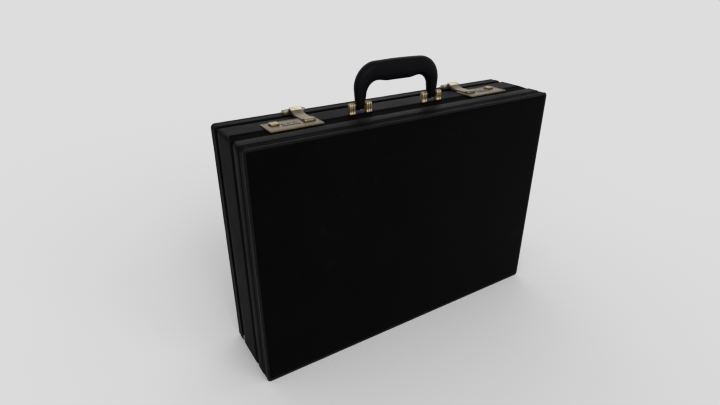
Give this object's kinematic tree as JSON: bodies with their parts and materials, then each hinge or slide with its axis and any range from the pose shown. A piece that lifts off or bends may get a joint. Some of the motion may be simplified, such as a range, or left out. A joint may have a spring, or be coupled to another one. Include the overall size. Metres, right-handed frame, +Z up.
{
  "type": "leather attache briefcase",
  "caption": "Hard-sided black leather attache case with a hinged lid, swinging handle, combination locks with hasps, lid stays and a lined interior.",
  "frame": {"origin": "bottom centre of the closed case, on the surface that it stands on, hinge side down", "axes": "+X along the case, +Y towards the lid side, +Z up through the handle"},
  "size_m": [0.45, 0.106, 0.37],
  "materials": {
    "body_leather": "dark grey-black grained leather, satin",
    "panel_leather": "black pebbled leather, satin",
    "handle_leather": "black smooth leather over padding",
    "frame_wood": "plain poplar",
    "hardboard": "hardboard",
    "lining_cloth": "brushed suede cloth",
    "organiser_leather": "thin grained leather",
    "black_rim": "black satin paint on aluminium",
    "steel": "plain steel",
    "hinge_metal": "brass strip",
    "gilt_brass": "satin pale gold plating",
    "dial_brass": "satin pale gold with engraved digits"
  },
  "bodies": {
    "base": {"base_leather_band": "body_leather", "base_bottom_leather": "body_leather", "base_panel_leather": "panel_leather", "base_welt": "panel_leather", "base_top_board": "frame_wood", "base_bottom_board": "frame_wood", "base_left_board": "frame_wood", "base_right_board": "frame_wood", "base_panel": "hardboard", "base_lining": "lining_cloth", "base_rim": "black_rim", "handle_post_screws": "steel", "hinge_base_screws": "steel", "hinge_pin": "steel", "dial_axles": "steel", "hasp_pins": "steel", "hasp_springs": "steel", "lock_housing_left": "steel", "lock_housing_right": "steel", "handle_pins": "steel", "hinge_base_leaf": "hinge_metal", "handle_posts": "gilt_brass", "stay_guide_pins": "gilt_brass", "lock_plate_left": "gilt_brass", "lock_plate_right": "gilt_brass"},
    "lid": {"lid_leather_band": "body_leather", "lid_bottom_leather": "body_leather", "lid_panel_leather": "panel_leather", "lid_welt": "panel_leather", "lid_top_board": "frame_wood", "lid_bottom_board": "frame_wood", "lid_left_board": "frame_wood", "lid_right_board": "frame_wood", "lid_panel": "hardboard", "lid_lining": "lining_cloth", "lid_file_pocket": "organiser_leather", "lid_rim": "black_rim", "hinge_lid_leaf": "hinge_metal", "hinge_lid_screws": "steel", "stay_pivot_pins": "gilt_brass", "catch_rivets": "gilt_brass", "catch_left": "gilt_brass", "catch_right": "gilt_brass", "pen_loop_strip": "organiser_leather"},
    "handle": {"handle_grip": "handle_leather", "handle_core": "steel"},
    "stay_left": {"stay_left": "gilt_brass"},
    "hasp_left": {"hasp_left": "gilt_brass"},
    "slide_left": {"slide_button_left": "gilt_brass"},
    "dial_left_1": {"dial_left_1": "dial_brass"},
    "dial_left_2": {"dial_left_2": "dial_brass"},
    "dial_left_3": {"dial_left_3": "dial_brass"},
    "stay_right": {"stay_right": "gilt_brass"},
    "hasp_right": {"hasp_right": "gilt_brass"},
    "slide_right": {"slide_button_right": "gilt_brass"},
    "dial_right_1": {"dial_right_1": "dial_brass"},
    "dial_right_2": {"dial_right_2": "dial_brass"},
    "dial_right_3": {"dial_right_3": "dial_brass"}
  },
  "joints": [
    {"name": "lid_hinge", "type": "hinge", "parent": "base", "child": "lid", "pos_m": [0, 0.033, 0.0024], "axis": [-1, 0, 0], "range_deg": [0, 95]},
    {"name": "handle_swing", "type": "hinge", "parent": "base", "child": "handle", "pos_m": [0, 0, 0.3198], "axis": [1, 0, 0], "range_deg": [-82, 82]},
    {"name": "stay_left_pivot", "type": "hinge", "parent": "lid", "child": "stay_left", "pos_m": [-0.2126, 0.043, 0.0424], "axis": [-1, 0, 0], "range_deg": [-48, 1]},
    {"name": "hasp_left_lift", "type": "hinge", "parent": "base", "child": "hasp_left", "pos_m": [-0.1255, -0.0015, 0.3119], "axis": [1, 0, 0], "range_deg": [0, 60]},
    {"name": "slide_left_push", "type": "slide", "parent": "base", "child": "slide_left", "axis": [-1, 0, 0], "range_m": [0, 0.004], "stiffness_N_per_m": 300, "springref_m": -0.001},
    {"name": "dial_left_1_turn", "type": "hinge", "parent": "base", "child": "dial_left_1", "pos_m": [-0.1415, -0.0015, 0.3045], "axis": [1, 0, 0], "continuous": true},
    {"name": "dial_left_2_turn", "type": "hinge", "parent": "base", "child": "dial_left_2", "pos_m": [-0.149, -0.0015, 0.3045], "axis": [1, 0, 0], "continuous": true},
    {"name": "dial_left_3_turn", "type": "hinge", "parent": "base", "child": "dial_left_3", "pos_m": [-0.1565, -0.0015, 0.3045], "axis": [1, 0, 0], "continuous": true},
    {"name": "stay_right_pivot", "type": "hinge", "parent": "lid", "child": "stay_right", "pos_m": [0.2126, 0.043, 0.0424], "axis": [-1, 0, 0], "range_deg": [-48, 1]},
    {"name": "hasp_right_lift", "type": "hinge", "parent": "base", "child": "hasp_right", "pos_m": [0.1255, -0.0015, 0.3119], "axis": [1, 0, 0], "range_deg": [0, 60]},
    {"name": "slide_right_push", "type": "slide", "parent": "base", "child": "slide_right", "axis": [1, 0, 0], "range_m": [0, 0.004], "stiffness_N_per_m": 300, "springref_m": -0.001},
    {"name": "dial_right_1_turn", "type": "hinge", "parent": "base", "child": "dial_right_1", "pos_m": [0.1415, -0.0015, 0.3045], "axis": [1, 0, 0], "continuous": true},
    {"name": "dial_right_2_turn", "type": "hinge", "parent": "base", "child": "dial_right_2", "pos_m": [0.149, -0.0015, 0.3045], "axis": [1, 0, 0], "continuous": true},
    {"name": "dial_right_3_turn", "type": "hinge", "parent": "base", "child": "dial_right_3", "pos_m": [0.1565, -0.0015, 0.3045], "axis": [1, 0, 0], "continuous": true}
  ],
  "couplings": [
    {"joint": "stay_left_pivot", "follows": "lid_hinge", "ratio": -0.5},
    {"joint": "stay_right_pivot", "follows": "lid_hinge", "ratio": -0.5}
  ]
}
